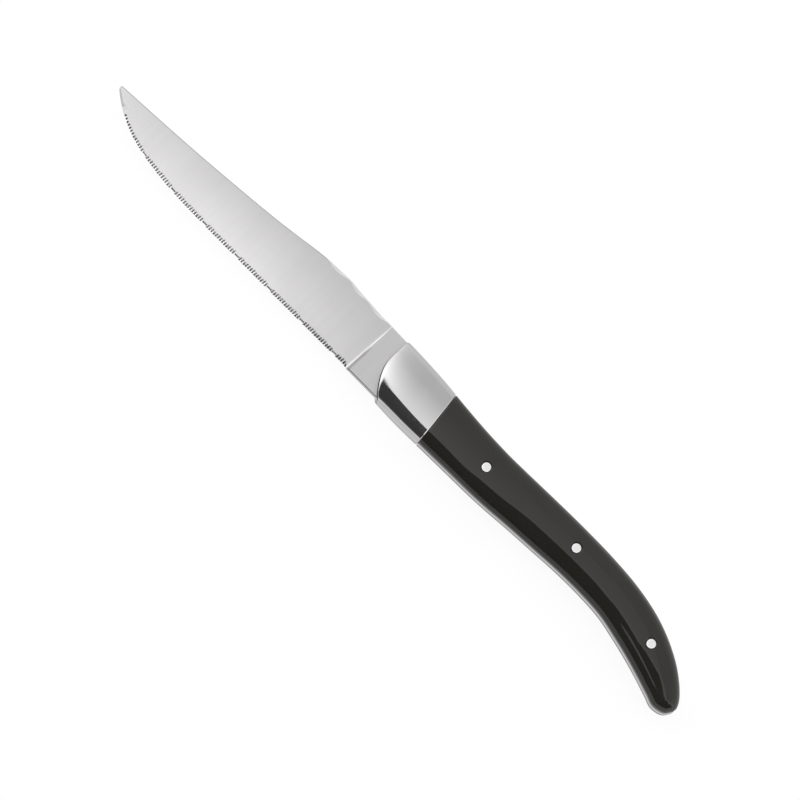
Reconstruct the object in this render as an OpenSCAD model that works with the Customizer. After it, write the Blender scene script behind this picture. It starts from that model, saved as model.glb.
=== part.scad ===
// Steak knife with a full tang: one steel blade and tang, two bolster plates, two handle scales,
// three handle rivets and two blind bolster pins.
// It lies on its side: +X from the tip to the butt, +Y from the edge to the spine, +Z up.
// The origin is at the bottom centre of its box. Millimetres.

/* [Overall] */
// Length of the blade from its tip to the front of the bolster
blade_len = 104.9; // [95:0.1:120]
// Length of the handle from the front of the bolster to the butt
handle_len = 124.6; // [112:0.1:140]
// Width of the steel at the ricasso, from the edge side to the spine
blade_w = 17.2; // [14:0.1:20]
// Thickness of the handle over both scales
handle_thick = 11; // [9.6:0.1:13]
// Thickness of the steel at the ricasso and the tang
steel_thick = 2.4; // [1.8:0.1:3.2]

/* [Blade] */
// Thickness of the cutting edge
edge_thick = 0.16; // [0.1:0.01:0.3]
// Length of the plain ricasso between the grind and the bolster
ricasso_len = 5.5; // [4:0.1:10]
// Length over which the grind runs out into the ricasso
plunge_len = 0.9; // [0.5:0.1:1.6]
// Width of the small bevel that breaks the spine's corners
spine_break = 0.15; // [0.1:0.01:0.3]
// Mean width of the wavy bevel on the back of the spine
wave_w = 0.65; // [0.4:0.05:1]
// Length of one wave of that bevel
wave_len = 8; // [6:0.1:12]
// Length of the stretch of spine that carries the wavy bevel
wave_run = 24; // [16:0.5:30]
// Distance from the ricasso to the end of that stretch
wave_gap = 1.5; // [1:0.1:6]

/* [Serration] */
// Distance from one tooth to the next
tooth_pitch = 0.83; // [0.7:0.01:1.4]
// Depth of the notch between two teeth
tooth_depth = 0.32; // [0.15:0.01:0.5]
// Number of teeth in a group
teeth_in_group = 13; // [8:1:16]
// Length of the plain recess between two groups
group_gap = 1.8; // [1:0.1:3]
// Depth of that recess
gap_depth = 0.5; // [0.2:0.01:0.7]
// Plain stretch of edge next to the tip
tip_plain = 6.6; // [4:0.1:12]
// Plain stretch of edge next to the grind's run-out
heel_plain = 0.2; // [0.1:0.1:3]

/* [Bolster] */
// Length of the bolster along the middle of the handle
bolster_len = 21.5; // [18:0.1:28]
// How far the bolster stands out over the ricasso at the spine and at the edge side
bolster_step = 0.34; // [0.2:0.01:0.8]
// How far the bolster's front sweeps back on the edge side
front_sweep = 6.6; // [4:0.1:9]
// Rounding of the front's corner at the spine
front_corner = 1.2; // [0.6:0.1:2]
// Length over which the bolster's crown rises from its front
dome_len = 12; // [8:0.5:16]
// Slant of the joint between the bolster and the scales, in degrees
joint_slant = 8.6; // [0:0.1:20]
// Diameter of the blind pins in the bolster
bolster_pin_d = 3; // [2:0.1:4]
// Length of a blind pin beyond the steel, on each side
bolster_pin_reach = 2.6; // [1.5:0.1:3]

/* [Rivets] */
// Diameter of the handle rivets
rivet_d = 2.8; // [2:0.1:4]
// Height of the slight dome on each rivet end
rivet_dome = 0.08; // [0.04:0.01:0.15]
// Gap between a pin and the wall of its hole
pin_clearance = 0.02; // [0.01:0.01:0.05]

/* [Hidden] */
$fn = 48;

// Sizes that follow from the ones above
half_steel = steel_thick / 2;
plate_thick = handle_thick / 2 - half_steel;
handle_w = blade_w + 2 * bolster_step;
grind_end = blade_len - ricasso_len;
group_len = teeth_in_group * tooth_pitch + group_gap;
overrun = 3;
rivet_hole_d = rivet_d + 2 * pin_clearance;
bolster_hole_d = bolster_pin_d + 2 * pin_clearance;

// Blade outline: each row is a share of blade_len from the tip, and a share of blade_w above it
spine_shares = [[0, 0.03], [0.131, 0.105], [0.262, 0.19], [0.394, 0.291], [0.526, 0.403],
    [0.607, 0.488], [0.674, 0.565], [0.729, 0.609], [0.78, 0.632], [0.82, 0.624], [0.881, 0.613],
    [0.942, 0.616], [1.01, 0.623]];
edge_shares = [[0, -0.022], [0.013, -0.084], [0.039, -0.19], [0.078, -0.319], [0.118, -0.407],
    [0.168, -0.474], [0.228, -0.517], [0.309, -0.54], [0.4, -0.531], [0.531, -0.501], [0.703, -0.456],
    [0.865, -0.41], [0.946, -0.386], [1.01, -0.371]];
// Thickness of the spine as a share of steel_thick, by share of blade_len
taper_shares = [[0, 0.16], [0.05, 0.34], [0.2, 0.56], [0.505, 0.78], [0.808, 0.94], [0.94, 1],
    [1.01, 1]];
// Stations of the grind from the edge to the spine, as shares of the blade's width
grind_shares = [0, 0.05, 0.18, 0.4, 0.68, 1];
grind_power = 0.65;

// Handle outline on the spine side and the edge side, station by station from the bolster to the
// butt, where the last point is common. Each row is a share of handle_len and a share of handle_w.
back_shares = [[-0.02, 0.615], [0.109, 0.611], [0.198, 0.58], [0.267, 0.564], [0.332, 0.567],
    [0.379, 0.584], [0.436, 0.611], [0.506, 0.644], [0.58, 0.671], [0.659, 0.684], [0.739, 0.665],
    [0.81, 0.595], [0.869, 0.476], [0.921, 0.313], [0.959, 0.142], [0.987, -0.03], [1, -0.166],
    [1.001, -0.262]];
belly_shares = [[-0.02, -0.384], [0.108, -0.382], [0.201, -0.345], [0.271, -0.315], [0.34, -0.287],
    [0.391, -0.254], [0.451, -0.203], [0.528, -0.147], [0.6, -0.096], [0.672, -0.071], [0.736, -0.081],
    [0.795, -0.147], [0.846, -0.22], [0.891, -0.298], [0.931, -0.377], [0.96, -0.433], [0.988, -0.385],
    [1.001, -0.262]];
stations = len(back_shares) - 1;
butt_station = stations - 2;
station_steps = 5;

// The side of a scale stands upright for a share of its height, and then rolls over on a rounded
// section, whose squareness changes along the handle, by share of the stations. The width of the
// crown is a share of the handle's half width.
wall_share = 0.22;
crown_share = 0.94;
crown_power = [[0, 2.1], [0.12, 2.6], [0.2, 2.7], [0.28, 2.2], [0.36, 1.95], [0.45, 1.8], [0.56, 1.8],
    [0.68, 1.75], [0.8, 1.65], [0.9, 1.6], [1, 1.6]];
crown_rings = 10;
// Turn of the last ring, which still has some width and lies above the flat
crown_top_turn = 87;
// The crown's middle is ground flat at this share of its full height
flat_share = 0.99;

// Places of the rivets: a share of handle_len along the handle, and a share of handle_w above its
// middle line. The bolster pins stand on the middle line at shares of bolster_len.
rivet_shares = [[0.324, 0.002], [0.59, 0.033], [0.857, 0.042]];
bolster_pin_shares = [0.48, 0.82];

// Smooth curve through a table of rows [place, value], read at a place
function row_at(table, p, i = 0) =
    (i >= len(table) - 2 || p < table[i + 1][0]) ? i : row_at(table, p, i + 1);
function slope_at(table, i) =
    let (a = table[max(i - 1, 0)], b = table[min(i + 1, len(table) - 1)]) (b[1] - a[1]) / (b[0] - a[0]);
function curve(table, p) =
    let (i = row_at(table, p), a = table[i], b = table[i + 1], w = b[0] - a[0], t = (p - a[0]) / w)
    a[1] * (1 + 2 * t) * pow(1 - t, 2) + b[1] * (3 - 2 * t) * t * t
    + slope_at(table, i) * w * t * pow(1 - t, 2) - slope_at(table, i + 1) * w * t * t * (1 - t);

// Handle outline points, by station number
function scaled(shares) =
    [for (i = [0:len(shares) - 1]) [i, [blade_len + shares[i][0] * handle_len, shares[i][1] * handle_w]]];
back_rows = scaled(back_shares);
belly_rows = scaled(belly_shares);
function middle(station) = (curve(back_rows, station) + curve(belly_rows, station)) / 2;
outline_stations = concat([for (i = [0:stations * station_steps]) i / station_steps],
    [for (i = [stations * station_steps - 1:-1:0]) i / station_steps]);
outline_points = [for (i = [0:len(outline_stations) - 1])
    curve(i <= stations * station_steps ? back_rows : belly_rows, outline_stations[i])];

// Places at a distance along the handle, on its middle line or above it
middle_rows = [for (i = [0:butt_station]) middle(i)];
function on_middle(along, above = 0) =
    [blade_len + along, curve(middle_rows, blade_len + along) + above, 0];
rivet_places = [for (shares = rivet_shares) on_middle(shares[0] * handle_len, shares[1] * handle_w)];
bolster_pin_places = [for (share = bolster_pin_shares) on_middle(share * bolster_len)];
joint_place = on_middle(bolster_len);

// Blade outline heights at a distance from the tip
function spine_y(x) = curve(spine_shares, x / blade_len) * blade_w;
function edge_y(x) = curve(edge_shares, x / blade_len) * blade_w;
function half_spine(x) = curve(taper_shares, x / blade_len) * half_steel;

// Edge points from one tooth to the next, group by group, with a recess after each group. Each is
// a distance from the tip and the height of the edge above its plain line.
teeth_end = grind_end - plunge_len - heel_plain;
groups = ceil((teeth_end - tip_plain) / group_len);
recess_shares = [0.25, 0.75];
tooth_points = [for (g = [0:groups - 1]) each concat(
    [for (i = [0:2 * teeth_in_group]) [tip_plain + g * group_len + i * tooth_pitch / 2, i % 2 * tooth_depth]],
    [for (share = recess_shares) [tip_plain + (g + 1) * group_len - (1 - share) * group_gap, gap_depth]])];

// Width of the bevel at the spine: narrow, with a wavy stretch ahead of the ricasso. The bevel falls
// away by a share of its width.
wave_end = grind_end - wave_gap;
wave_share = 0.6;
bevel_fall_share = 0.25;
function in_wave(x) = min(1, max(0, min(x - wave_end + wave_run, wave_end - x) / wave_gap));
function bevel_w(x) =
    spine_break + in_wave(x) * wave_w * (1 - wave_share * cos(360 * (wave_end - x) / wave_len));

// How far the grind has run out into the ricasso, 0 to 1
function runout(x) = pow(max(0, 1 - (grind_end - x) / plunge_len), 2);

// One section of the ground blade, as points from the edge up one face to the spine. A place is a
// distance from the tip and the height of the edge there above its plain line.
function face_points(place) =
    let (x = place[0], low = edge_y(x) + place[1], high = spine_y(x) - bevel_w(x), full = half_spine(x),
        thin = edge_thick / 2)
    concat(
        [for (s = grind_shares)
            let (z = thin + (full - thin) * pow(s, grind_power))
            [low + (high - low) * s, z + (half_steel - z) * runout(x)]],
        [[spine_y(x), full - bevel_w(x) * bevel_fall_share]]);
function section(place) =
    let (x = place[0], face = face_points(place), last = len(face) - 1)
    concat([for (p = face) [x, p[0], p[1]]], [for (i = [last:-1:0]) [x, face[i][0], -face[i][1]]]);

// Places of the sections: fine at the tip, two for each tooth, fine at the grind's end
tip_steps = 8;
runout_steps = 4;
section_places = concat(
    [for (i = [0:tip_steps - 1]) [tip_plain * pow(i / tip_steps, 2), 0]],
    [for (p = tooth_points) if (p[0] < teeth_end) p],
    [for (i = [0:runout_steps]) [grind_end - plunge_len * (1 - i / runout_steps), 0]]);

// Skin of a stack of rings with the same number of points. Each ring runs up one side and back down
// the other, so its two ends are closed by strips between facing points.
function end_strip(n) = [for (j = [0:floor((n - 3) / 2)]) each concat([[j + 1, j, n - 1 - j]],
    j + 1 == n - 2 - j ? [] : [[n - 2 - j, j + 1, n - 1 - j]])];
module skin(rings) {
    n = len(rings[0]);
    last = len(rings) - 1;
    polyhedron(
        points = [for (ring = rings) each ring],
        faces = concat(
            end_strip(n),
            [for (k = [0:last - 1]) for (j = [0:n - 1]) each [
                [(k + 1) * n + j, k * n + j, (k + 1) * n + (j + 1) % n],
                [(k + 1) * n + (j + 1) % n, k * n + j, k * n + (j + 1) % n]]],
            [for (f = end_strip(n)) [last * n + f[0], last * n + f[2], last * n + f[1]]]));
}

// Moves the knife from its mid-plane and its tip to the bottom centre of its box
box_low = min([for (place = section_places) edge_y(place[0]) + place[1]]);
box_high = max([for (p = outline_points) p[1]]);
box_right = max([for (p = outline_points) p[0]]);
module placed() {
    translate([-box_right / 2, -(box_low + box_high) / 2, handle_thick / 2])
        children();
}

// Everything ahead of the bolster's front, which has a rounded corner at the spine, is straight
// below it and then sweeps back
front_top_share = 0.347;
front_low_share = -0.386;
front_power = 2.2;
front_steps = 12;
corner_steps = 5;
corner_top = back_shares[0][1] * handle_w;
front_top = front_top_share * handle_w;
front_low = front_low_share * handle_w;
function corner_x(y) =
    let (up = min(front_corner, max(0, y - corner_top + front_corner)))
    front_corner - sqrt(pow(front_corner, 2) - pow(up, 2));
function swept(y) = front_sweep * pow(max(0, (front_top - y) / (front_top - front_low)), front_power);
function front_x(y) = blade_len + corner_x(y) + swept(y);
front_heights = concat(
    [for (i = [0:corner_steps]) corner_top - front_corner * (1 - cos(90 * i / corner_steps))],
    [for (i = [0:front_steps]) front_top + (front_low - front_top) * i / front_steps]);
module ahead_of_bolster() {
    polygon(concat(
        [[blade_len - handle_w, handle_w + overrun], [blade_len + front_corner, handle_w + overrun]],
        [for (y = front_heights) [front_x(y), y]],
        [[front_x(front_low), -handle_w], [blade_len - handle_w, -handle_w]]));
}

// Everything behind the slanted joint
module behind_joint() {
    translate(joint_place)
        rotate([0, 0, joint_slant])
            translate([0, -handle_len, -handle_thick])
                cube([2 * handle_len, 2 * handle_len, 2 * handle_thick]);
}

// A point of the crown over the steel's upper face, at a station and at a turn around the section,
// from 0 at the edge side to 180 at the spine side
crown_high = plate_thick / flat_share;
function crown_point(station, turn) =
    let (p = curve(turn < 90 ? belly_rows : back_rows, station),
        m = middle(min(station, butt_station)),
        power = curve(crown_power, station / stations),
        q = p + (m - p) * crown_share * (1 - pow(abs(cos(turn)), 2 / power)))
    [q[0], q[1], half_steel + crown_high * (wall_share + (1 - wall_share) * pow(sin(turn), 2 / power))];

// The crowned blank that a scale is cut from
function crown_ring(k) =
    let (turn = crown_top_turn * k / crown_rings)
    [for (i = [0:len(outline_points) - 1])
        crown_point(outline_stations[i], i <= stations * station_steps ? 180 - turn : turn)];
root_ring = [for (p = outline_points) [p[0], p[1], half_steel - overrun]];
module crowned_blank() {
    intersection() {
        skin(concat([root_ring], [for (k = [0:crown_rings]) crown_ring(k)]));
        translate([blade_len - handle_w, -handle_w, half_steel])
            cube([handle_len + 2 * handle_w, 2 * handle_w, plate_thick]);
    }
}

// How far a point lies behind the bolster's front, and behind the joint
function past_front(p) = p[0] - front_x(p[1]);
function past_joint(p) =
    (p[0] - joint_place[0]) * cos(joint_slant) + (p[1] - joint_place[1]) * sin(joint_slant);

// Station at which the crown meets the front or the joint, found by halving
last_front_station = 4;
last_joint_station = 6;
halvings = 30;
function meets(turn, at_joint, low, high, n = 0) =
    let (half = (low + high) / 2, p = crown_point(half, turn))
    n == halvings ? half
    : (at_joint ? past_joint(p) : past_front(p)) > 0 ? meets(turn, at_joint, low, half, n + 1)
    : meets(turn, at_joint, half, high, n + 1);

// The bolster's crown is a dome ahead: its height rises from a share to the full one. The line it
// rises from lies along the front at the spine, and sweeps back by a share of the front's sweep.
dome_foot_share = 0.2;
dome_power = 2.6;
dome_sweep_share = 0.55;
function dome_foot_x(y) = blade_len + corner_x(y) + dome_sweep_share * swept(y);
function rise(p) =
    let (way = min(1, max(0, 1 - (p[0] - dome_foot_x(p[1])) / dome_len)))
    dome_foot_share + (1 - dome_foot_share) * pow(1 - pow(way, dome_power), 1 / dome_power);
function domed(p) =
    [p[0], p[1], half_steel + min(plate_thick, (p[2] - half_steel) * rise(p))];

// A bolster plate is a stack of sections from its front to the joint, closer together at the front
bolster_steps = 16;
bolster_crowding = 2;
bolster_turns = [for (k = [0:2 * crown_rings]) 90 * k / crown_rings];
front_stations = [for (turn = bolster_turns) meets(turn, false, 0, last_front_station)];
joint_stations = [for (turn = bolster_turns) meets(turn, true, 0, last_joint_station)];
function bolster_ring(share) =
    let (top = [for (k = [0:2 * crown_rings])
        crown_point(front_stations[k] + (joint_stations[k] - front_stations[k]) * share, bolster_turns[k])])
    concat([for (p = top) domed(p)],
        [for (k = [2 * crown_rings:-1:0]) [top[k][0], top[k][1], half_steel]]);
module upper_plate_of_bolster() {
    difference() {
        skin([for (i = [0:bolster_steps]) bolster_ring(pow(i / bolster_steps, bolster_crowding))]);
        for (place = bolster_pin_places)
            translate(place)
                cylinder(d = bolster_hole_d, h = half_steel + bolster_pin_reach + pin_clearance);
    }
}

module upper_half_of_scales() {
    difference() {
        intersection() {
            crowned_blank();
            behind_joint();
        }
        for (place = rivet_places)
            translate(place)
                cylinder(d = rivet_hole_d, h = handle_thick);
    }
}

// The ground blade. Its root stands a hair inside the ricasso, and runs into it.
root_inset = 0.03;
function root(x) =
    let (middle_y = (edge_y(grind_end) + spine_y(grind_end)) / 2)
    [for (p = section([grind_end, 0]))
        [x, p[1] - sign(p[1] - middle_y) * root_inset, p[2] - sign(p[2]) * root_inset]];
module ground_blade() {
    skin(concat([for (place = section_places) if (place[0] < grind_end) section(place)],
        [root(grind_end), root(grind_end + plunge_len)]));
}

module tang_outline() {
    polygon([[grind_end, edge_y(grind_end)], [grind_end, spine_y(grind_end)],
        [blade_len + front_sweep + overrun, spine_y(blade_len)],
        [blade_len + front_sweep + overrun, edge_y(blade_len)]]);
    difference() {
        polygon(outline_points);
        ahead_of_bolster();
    }
}

module blade() color([0.8, 0.8, 0.8]) placed() {
    difference() {
        union() {
            ground_blade();
            translate([0, 0, -half_steel])
                linear_extrude(steel_thick)
                    tang_outline();
        }
        for (place = rivet_places)
            translate(place)
                cylinder(d = rivet_hole_d, h = handle_thick, center = true);
        for (place = bolster_pin_places)
            translate(place)
                cylinder(d = bolster_hole_d, h = handle_thick, center = true);
    }
}

module upper_bolster() color([0.85, 0.85, 0.86]) placed() upper_plate_of_bolster();

module lower_bolster() color([0.85, 0.85, 0.86]) placed() mirror([0, 0, 1]) upper_plate_of_bolster();

module upper_scale() color([0.2, 0.2, 0.2]) placed() upper_half_of_scales();

module lower_scale() color([0.2, 0.2, 0.2]) placed() mirror([0, 0, 1]) upper_half_of_scales();

// A rivet through both scales and the tang, with a slight dome at each end
module rivet(place) {
    dome_r = (pow(rivet_d / 2, 2) + pow(rivet_dome, 2)) / (2 * rivet_dome);
    placed()
        translate(place)
            intersection() {
                cylinder(d = rivet_d, h = handle_thick, center = true);
                translate([0, 0, handle_thick / 2 - dome_r])
                    sphere(r = dome_r);
                translate([0, 0, dome_r - handle_thick / 2])
                    sphere(r = dome_r);
            }
}

module front_rivet() color([0.9, 0.9, 0.9]) rivet(rivet_places[0]);

module middle_rivet() color([0.9, 0.9, 0.9]) rivet(rivet_places[1]);

module rear_rivet() color([0.9, 0.9, 0.9]) rivet(rivet_places[2]);

// A blind pin that carries both bolster plates on the tang
module bolster_pin(place) {
    placed()
        translate(place)
            cylinder(d = bolster_pin_d, h = 2 * (half_steel + bolster_pin_reach), center = true);
}

module front_bolster_pin() color([0.7, 0.7, 0.7]) bolster_pin(bolster_pin_places[0]);

module rear_bolster_pin() color([0.7, 0.7, 0.7]) bolster_pin(bolster_pin_places[1]);

blade();
upper_bolster();
lower_bolster();
upper_scale();
lower_scale();
front_rivet();
middle_rivet();
rear_rivet();
front_bolster_pin();
rear_bolster_pin();
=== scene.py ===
import math

import bmesh
import bpy
import numpy as np
from mathutils import Matrix, Vector

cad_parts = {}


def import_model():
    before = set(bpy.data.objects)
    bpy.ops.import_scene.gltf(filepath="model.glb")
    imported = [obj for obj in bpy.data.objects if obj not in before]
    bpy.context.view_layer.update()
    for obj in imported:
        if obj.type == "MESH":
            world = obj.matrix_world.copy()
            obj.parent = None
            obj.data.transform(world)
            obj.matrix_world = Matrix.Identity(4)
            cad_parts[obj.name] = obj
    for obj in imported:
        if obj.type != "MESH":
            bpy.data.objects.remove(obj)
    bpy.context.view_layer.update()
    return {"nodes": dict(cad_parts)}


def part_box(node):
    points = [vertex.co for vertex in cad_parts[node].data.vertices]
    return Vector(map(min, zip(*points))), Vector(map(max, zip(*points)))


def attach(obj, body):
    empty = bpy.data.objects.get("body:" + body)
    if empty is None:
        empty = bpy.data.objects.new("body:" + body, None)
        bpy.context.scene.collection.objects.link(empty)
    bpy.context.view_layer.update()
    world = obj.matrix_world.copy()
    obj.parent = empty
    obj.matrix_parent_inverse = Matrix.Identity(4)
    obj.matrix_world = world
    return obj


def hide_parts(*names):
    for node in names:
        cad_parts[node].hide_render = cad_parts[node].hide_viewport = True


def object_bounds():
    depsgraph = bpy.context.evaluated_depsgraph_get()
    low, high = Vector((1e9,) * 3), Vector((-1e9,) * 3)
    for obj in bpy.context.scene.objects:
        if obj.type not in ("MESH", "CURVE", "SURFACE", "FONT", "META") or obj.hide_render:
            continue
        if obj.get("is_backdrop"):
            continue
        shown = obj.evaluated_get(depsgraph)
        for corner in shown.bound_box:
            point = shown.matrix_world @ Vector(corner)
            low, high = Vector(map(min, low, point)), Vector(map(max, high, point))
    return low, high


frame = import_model()

# ---------------------------------------------------------------------------------------------
# Sizes in millimetres, as in the solids. x runs from the tip to the butt, y from the edge to the
# spine, and z is height over the middle of the steel.
BLADE_LEN = 104.9
HANDLE_LEN = 124.6
BLADE_W = 17.2
HANDLE_THICK = 11.0
STEEL = 2.4
HALF = STEEL / 2
BOLSTER_STEP = 0.34
HANDLE_W = BLADE_W + 2 * BOLSTER_STEP
RICASSO = 5.5
GRIND_END = BLADE_LEN - RICASSO
PLUNGE = 0.9
BOLSTER_LEN = 21.5
JOINT_SLANT = math.radians(8.6)
FRONT_SWEEP = 6.6

# The two sides of the handle, as rows [share of its length, share of its width]. A row is a station,
# and a row of one side faces the same row of the other.
BACK = [[-0.02, 0.615], [0.109, 0.611], [0.198, 0.58], [0.267, 0.564], [0.332, 0.567],
        [0.379, 0.584], [0.436, 0.611], [0.506, 0.644], [0.58, 0.671], [0.659, 0.684],
        [0.739, 0.665], [0.81, 0.595], [0.869, 0.476], [0.921, 0.313], [0.959, 0.142],
        [0.987, -0.03], [1, -0.166], [1.001, -0.262]]
BELLY = [[-0.02, -0.384], [0.108, -0.382], [0.201, -0.345], [0.271, -0.315], [0.34, -0.287],
         [0.391, -0.254], [0.451, -0.203], [0.528, -0.147], [0.6, -0.096], [0.672, -0.071],
         [0.736, -0.081], [0.795, -0.147], [0.846, -0.22], [0.891, -0.298], [0.931, -0.377],
         [0.96, -0.433], [0.988, -0.385], [1.001, -0.262]]
# The two sides of the blade, as rows [share of its length, share of its width]
SPINE = [[0, 0.03], [0.131, 0.105], [0.262, 0.19], [0.394, 0.291], [0.526, 0.403],
         [0.607, 0.488], [0.674, 0.565], [0.729, 0.609], [0.78, 0.632], [0.82, 0.624],
         [0.881, 0.613], [0.942, 0.616], [1.01, 0.623]]
EDGE = [[0, -0.022], [0.013, -0.084], [0.039, -0.19], [0.078, -0.319], [0.118, -0.407],
        [0.168, -0.474], [0.228, -0.517], [0.309, -0.54], [0.4, -0.531], [0.531, -0.501],
        [0.703, -0.456], [0.865, -0.41], [0.946, -0.386], [1.01, -0.371]]
# Thickness of the spine, as rows [share of the blade's length, share of the stock]
TAPER = [[0, 0.16], [0.05, 0.34], [0.2, 0.56], [0.505, 0.78], [0.808, 0.94], [0.94, 1], [1.01, 1]]
BUTT = 15       # the station at which the handle's middle line ends
LAST = 17       # the last station, at which both sides meet


def curve(table, p):
    """Smooth curve through rows [place, value], read at places."""
    t = np.asarray(table, float)
    x, y = t[:, 0], t[:, 1]
    slope = np.empty_like(y)
    slope[1:-1] = (y[2:] - y[:-2]) / (x[2:] - x[:-2])
    slope[0] = (y[1] - y[0]) / (x[1] - x[0])
    slope[-1] = (y[-1] - y[-2]) / (x[-1] - x[-2])
    p = np.asarray(p, float)
    i = np.clip(np.searchsorted(x, p, side="right") - 1, 0, len(x) - 2)
    w = x[i + 1] - x[i]
    return hermite(y[i], y[i + 1], slope[i] * w, slope[i + 1] * w, (p - x[i]) / w)


def hermite(start, end, slope_start, slope_end, k):
    """Cubic from start to end with the slopes given per step, read at k from 0 to 1."""
    return (start * (1 + 2 * k) * (1 - k) ** 2 + end * (3 - 2 * k) * k * k
            + slope_start * k * (1 - k) ** 2 - slope_end * k * k * (1 - k))


def side(table, s):
    """Points of one side of the handle's outline at station numbers."""
    rows = np.asarray(table, float)
    n = np.arange(len(rows))
    x = curve(np.stack([n, BLADE_LEN + rows[:, 0] * HANDLE_LEN], 1), s)
    y = curve(np.stack([n, rows[:, 1] * HANDLE_W], 1), s)
    return np.stack([x, y], -1)


def middle(s):
    """Points of the handle's middle line at station numbers."""
    s = np.minimum(s, BUTT)
    return (side(BACK, s) + side(BELLY, s)) / 2


# The shift from the origin of the sizes above, at the tip and the middle of the steel, to the frame
low_corner, high_corner = (np.array(c) * 1000 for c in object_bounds())
fine = np.linspace(0, LAST, LAST * 5 + 1)      # five points to a station, as in the solids
shift = np.array([low_corner[0], high_corner[1] - max(side(BACK, fine)[:, 1]), HANDLE_THICK / 2])
box_low, box_high = low_corner / 1000, high_corner / 1000


def metres(points):
    """Points in the frame, kept inside the box of the solids."""
    return np.clip((np.asarray(points, float) + shift) / 1000, box_low, box_high)


MERGE, SLIVER = 2e-7, 1e-7      # metres


def piece(name, points, faces, nodes, sharp):
    """A mesh piece of the object from points in millimetres."""
    mesh = bpy.data.meshes.new(name)
    mesh.from_pydata(metres(points).tolist(), [], faces)
    bm = bmesh.new()
    bm.from_mesh(mesh)
    bmesh.ops.remove_doubles(bm, verts=bm.verts, dist=MERGE)
    bmesh.ops.dissolve_degenerate(bm, edges=bm.edges, dist=SLIVER)
    bmesh.ops.recalc_face_normals(bm, faces=bm.faces)
    bm.to_mesh(mesh)
    bm.free()
    mesh.polygons.foreach_set("use_smooth", [True] * len(mesh.polygons))
    mesh.set_sharp_from_angle(angle=math.radians(sharp))
    obj = bpy.data.objects.new(name, mesh)
    bpy.context.scene.collection.objects.link(obj)
    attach(obj, "root")
    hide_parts(*nodes)
    return obj


def quads(rows, cols, start=0, close=False):
    """Faces of a grid of points, row by row."""
    out = []
    for i in range(rows - 1):
        for j in range(cols if close else cols - 1):
            a, b = start + i * cols + j, start + i * cols + (j + 1) % cols
            out.append((a, b, b + cols, a + cols))
    return out


# ---------------------------------------------------------------------------------------------
# The crowned form of bolster and scales. A section rises from the outline over an upright wall and
# a round corner to a gently sloping facet, and over a crease to the nearly flat top. The tables give
# their value at a distance from the tip.
HEAD_PROUD = 0.03       # the heads of the rivets stand over the crown
CROWN_HIGH = HANDLE_THICK / 2 - HALF - HEAD_PROUD
CORNER_IN = [0, 0.03, 0.11, 0.29, 0.68, 1.12, 1.65]
CORNER_UP = [0.6, 1.15, 1.56, 2.04, 2.64, 3.12, 3.45]
WIDE_CORNER_UP = [0.75, 1.25, 1.56, 2.0, 2.78, 3.22, 3.45]      # for the widest corner
CORNER_SIZE = [[100, 1], [137, 1.05], [154, 1.22], [171, 1.42], [187, 1.52], [207, 1.5],
               [217, 1.4], [231, 1.2]]
WIDEST = 1.6
CORNER_REACH = 2.05     # a corner of size 1 needs this much room, or it shrinks
FOOT_IN, FOOT_LEAST, FOOT_MOST = 2.1, 0.5, 0.72     # where the facet starts: for size 1, and shares
FOOT_STEP = 0.2         # the last point of the corner lies this far under the start of the facet
CREASE = [[100, 4.5], [108, 4.35], [118, 4.05], [126, 3.75], [133, 3.7], [141, 3.5], [148, 4.1],
          [155, 4.35], [161.5, 4.75], [168, 5.0], [174.5, 5.15], [181, 5.3], [187.7, 4.75],
          [194.3, 4.4], [201, 4.7], [207.6, 4.8], [214, 4.95], [221, 5.2], [231, 5.2]]
CREASE_OUT, CREASE_IN = 0.25, 0.35      # the crease is soft over these widths
CREASE_DROP, CREASE_RISE = 1.02, 0.95   # and a little lower there than the two flats
# the crease keeps within a share of the half width, which grows over a run near the butt
SHARE, SHARE_MORE, SHARE_FROM, SHARE_RUN = 0.68, 0.26, 208, 10
# a faint swell in the facet near the butt
SWELL = [[100, 0], [196, 0], [204, 0.07], [212, 0.09], [218, 0.07], [226, 0], [231, 0]]
FACET = math.tan(math.radians(13.5))
TOP_TILT = [[100, 0.14], [126, 0.15], [145, 0.13], [160, 0.06], [231, 0.04]]
TOP_ROWS = 4


def section_rows(half, x):
    """Inset and height of the rows of a section, and of one more row beyond the middle."""
    share = SHARE + SHARE_MORE * np.clip((x - SHARE_FROM) / SHARE_RUN, 0, 1)
    crease = np.minimum(curve(CREASE, x), share * half)
    tilt = curve(TOP_TILT, x)
    at_crease = CROWN_HIGH - (half - crease) * tilt / 2
    size = curve(CORNER_SIZE, x)
    foot = np.clip(FOOT_IN * size, crease * FOOT_LEAST, crease * FOOT_MOST)
    at_foot = at_crease - (crease - foot) * FACET
    room = np.minimum(1, foot / (CORNER_REACH * size))
    outer, inner = CREASE_OUT * room, CREASE_IN * room
    lift = (at_foot - FOOT_STEP * room) / CORNER_UP[-1]
    wider = np.clip((size - 1) / (WIDEST - 1), 0, 1)

    e = [v * room * size for v in CORNER_IN]
    z = [(v + (w - v) * wider) * lift for v, w in zip(CORNER_UP, WIDE_CORNER_UP)]
    z[-1] = z[-1] + curve(SWELL, x)
    e += [foot, crease - outer, crease + inner]
    z += [at_foot, at_crease - outer * FACET * CREASE_DROP, at_crease + inner * tilt * CREASE_RISE]
    start, at_start = e[-1], z[-1]
    for p in np.linspace(0, 1, TOP_ROWS + 1)[1:]:
        e.append(start + (half - start) * p)
        z.append(at_start + (CROWN_HIGH - at_start) * (1 - (1 - p) ** 2))
    e.append(2 * half - e[-2])
    z.append(z[-2])
    return e, z


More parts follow.
